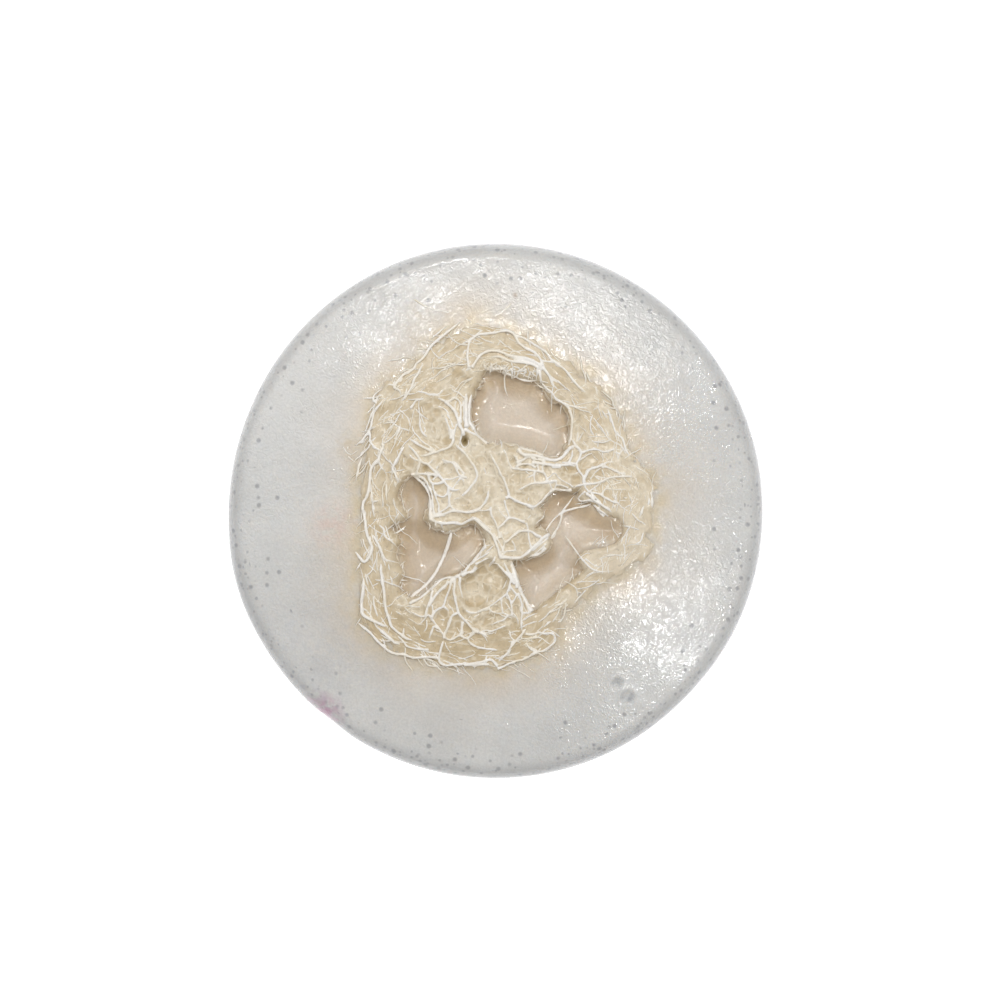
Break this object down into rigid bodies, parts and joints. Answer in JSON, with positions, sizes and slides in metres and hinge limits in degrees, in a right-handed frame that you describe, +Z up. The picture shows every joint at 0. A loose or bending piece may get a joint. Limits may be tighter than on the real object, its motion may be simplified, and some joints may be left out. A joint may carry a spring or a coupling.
{
  "type": "soap puck with luffa slice",
  "caption": "Round domed bar of milky cast soap with a slice of dried luffa set in its top, for washing and scrubbing the skin.",
  "frame": {"origin": "centre of the flat base", "axes": "+Z up through the dome, +Y towards the large open seed chamber of the luffa slice"},
  "size_m": [0.08, 0.08, 0.025],
  "materials": {
    "milky_soap": "milky translucent, slightly glossy skin",
    "luffa_tissue": "soap-soaked plant fibre mat",
    "luffa_skin": "thin translucent plant skin",
    "luffa_strand": "dry bleached plant fibre"
  },
  "bodies": {
    "root": {"soap_body": "milky_soap", "luffa_outer_wall": "luffa_tissue", "luffa_core": "luffa_tissue", "luffa_left_partition": "luffa_tissue", "luffa_right_partition": "luffa_tissue", "luffa_front_partition": "luffa_tissue", "top_chamber_lining": "luffa_skin", "left_chamber_lining": "luffa_skin", "right_chamber_lining": "luffa_skin", "outer_wall_strands": "luffa_strand", "core_strands": "luffa_strand", "left_partition_strands": "luffa_strand", "right_partition_strands": "luffa_strand", "front_partition_strands": "luffa_strand", "loose_fibres": "luffa_strand"}
  },
  "joints": []
}
